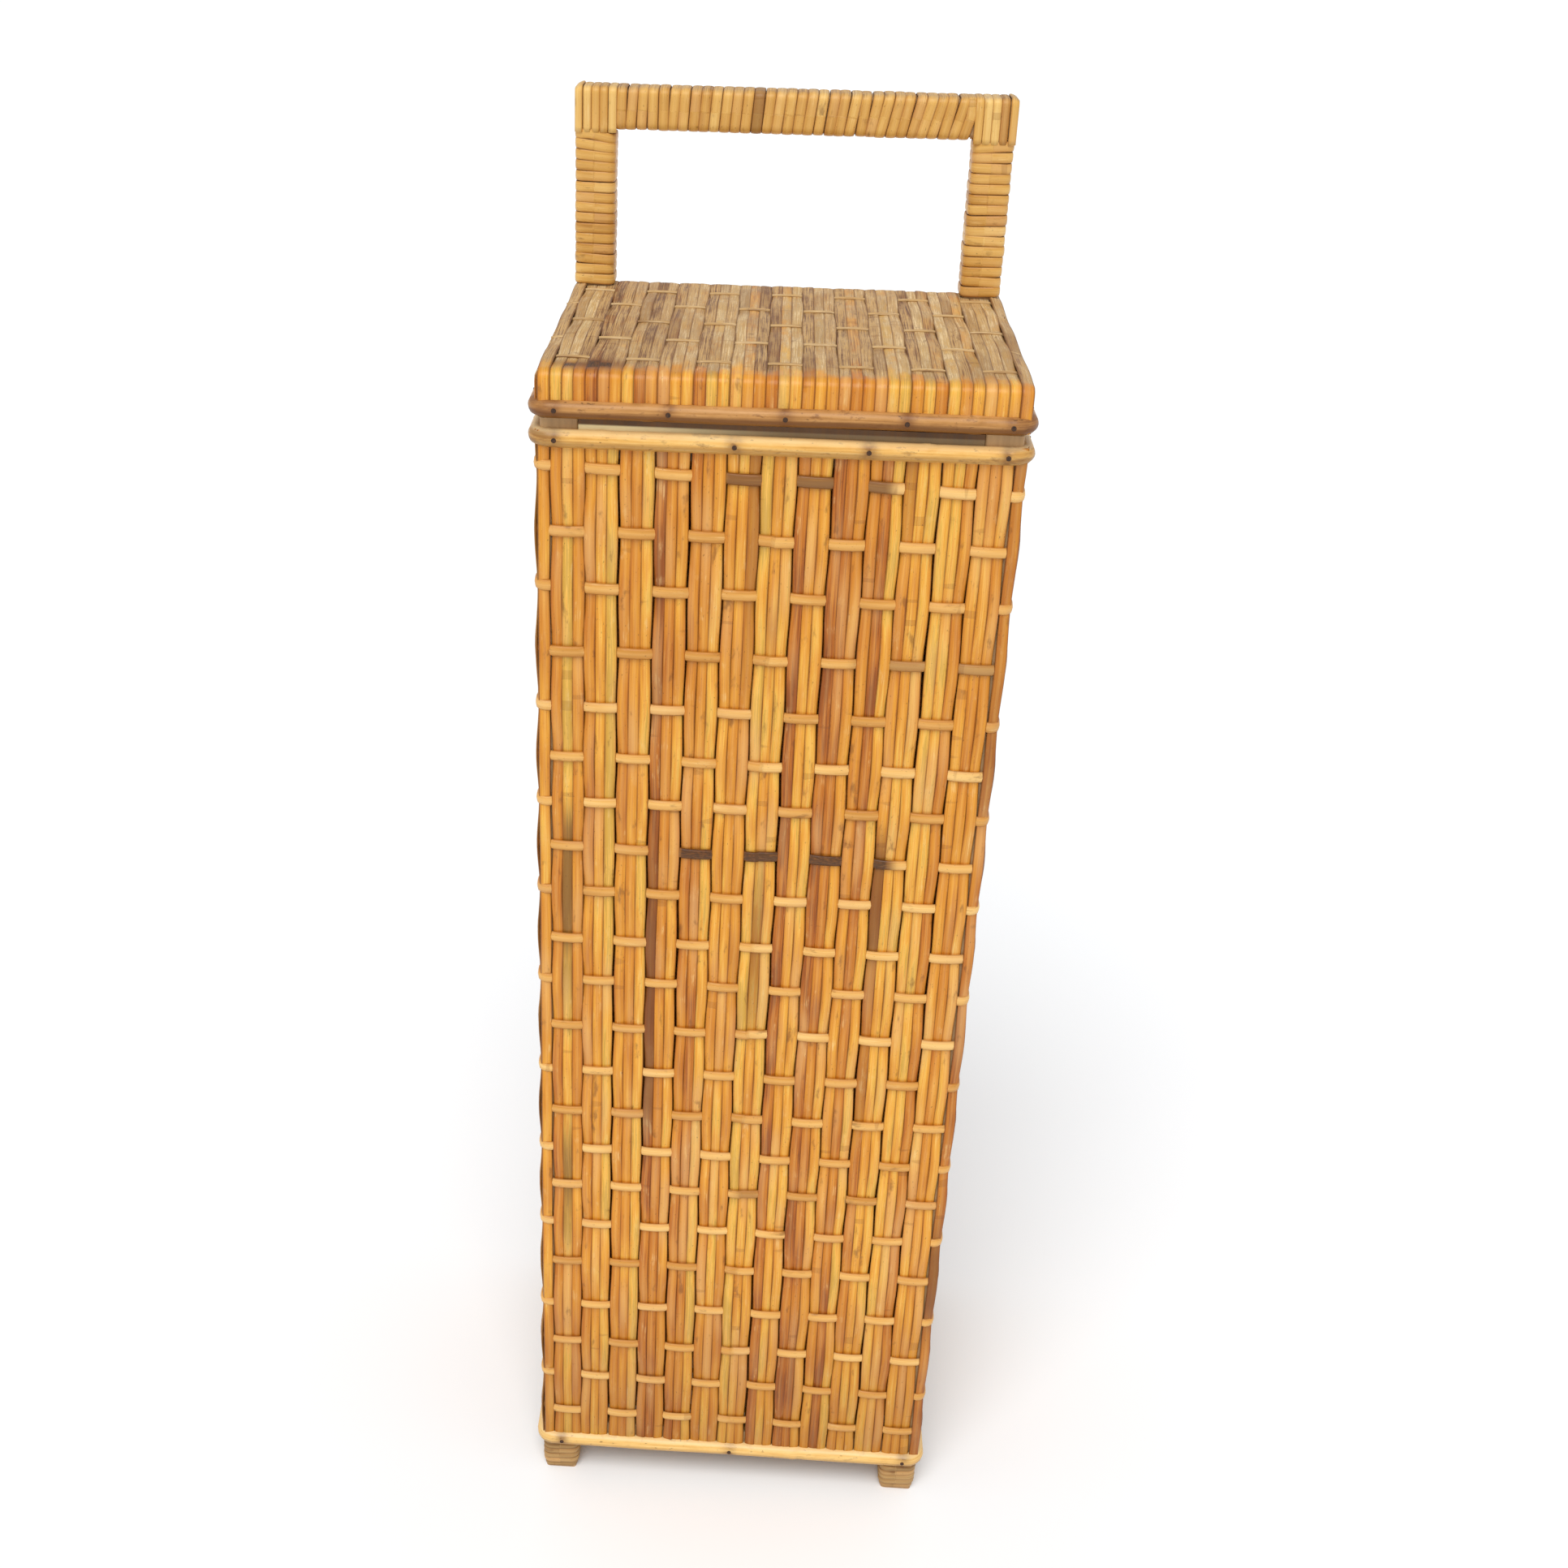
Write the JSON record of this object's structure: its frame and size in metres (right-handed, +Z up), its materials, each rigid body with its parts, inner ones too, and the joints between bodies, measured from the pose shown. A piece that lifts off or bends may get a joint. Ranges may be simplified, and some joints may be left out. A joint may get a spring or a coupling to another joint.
{
  "type": "laundry hamper with lid",
  "caption": "Tall slim square laundry hamper woven from split cane over a wooden frame, with a back-hinged woven lid that carries a cane-wrapped loop handle.",
  "frame": {"origin": "middle of the footprint, on the floor under the feet", "axes": "+Z up, +X to the right as seen from the front, -Y towards the front, +Y towards the hinge side"},
  "size_m": [0.2596, 0.227, 0.866],
  "materials": {
    "woven_cane": "glossy varnished rattan strips",
    "lid_cane": "weathered rattan strips",
    "dark_pole": "stained rattan pole, satin",
    "pole_cane": "varnished rattan pole",
    "pale_pole": "pale rattan pole, satin",
    "wrap_cane": "glossy split cane",
    "dark_nail": "dull, darkened",
    "steel_screw": "plain",
    "pale_wood": "bare sanded wood",
    "frame_wood": "bare sanded wood"
  },
  "bodies": {
    "hamper": {"base_back_pole": "pale_pole", "base_rim_nails": "dark_nail", "base_rim_pole": "pale_pole", "body_rim_nails": "dark_nail", "body_rim_pole": "pole_cane", "bottom_frame_nails": "dark_nail", "bottom_rail_back": "frame_wood", "bottom_rail_front": "frame_wood", "bottom_rail_left": "frame_wood", "bottom_rail_right": "frame_wood", "corner_post_back_left": "frame_wood", "corner_post_back_right": "frame_wood", "corner_post_front_left": "frame_wood", "corner_post_front_right": "frame_wood", "floor_batten_left": "frame_wood", "floor_batten_right": "frame_wood", "floor_mat": "woven_cane", "foot_wrap_back_left": "wrap_cane", "foot_wrap_back_right": "wrap_cane", "foot_wrap_front_left": "wrap_cane", "foot_wrap_front_right": "wrap_cane", "hinge_pole": "pole_cane", "top_frame_nails": "dark_nail", "top_rail_back": "pale_wood", "top_rail_front": "pale_wood", "top_rail_left": "pale_wood", "top_rail_right": "pale_wood", "wall_back": "woven_cane", "wall_front": "woven_cane", "wall_left": "woven_cane", "wall_right": "woven_cane"},
    "lid": {"bar_wrap": "wrap_cane", "corner_wrap_left": "wrap_cane", "corner_wrap_right": "wrap_cane", "handle_bar": "frame_wood", "handle_leg_left": "frame_wood", "handle_leg_right": "frame_wood", "handle_screws": "steel_screw", "hinge_lashing_left": "wrap_cane", "hinge_lashing_right": "wrap_cane", "leg_wrap_left": "wrap_cane", "leg_wrap_right": "wrap_cane", "lid_back_pole": "dark_pole", "lid_crossbar": "frame_wood", "lid_frame_nails": "dark_nail", "lid_rail_back": "frame_wood", "lid_rail_front": "frame_wood", "lid_rail_left": "frame_wood", "lid_rail_right": "frame_wood", "lid_rim_nails": "dark_nail", "lid_rim_pole": "dark_pole", "lid_side_left": "lid_cane", "lid_side_right": "lid_cane", "lid_weave": "lid_cane"}
  },
  "joints": [
    {"name": "lid_hinge", "type": "hinge", "parent": "hamper", "child": "lid", "pos_m": [0, 0.1102, 0.719], "axis": [-1, 0, 0], "range_deg": [0, 110]}
  ]
}
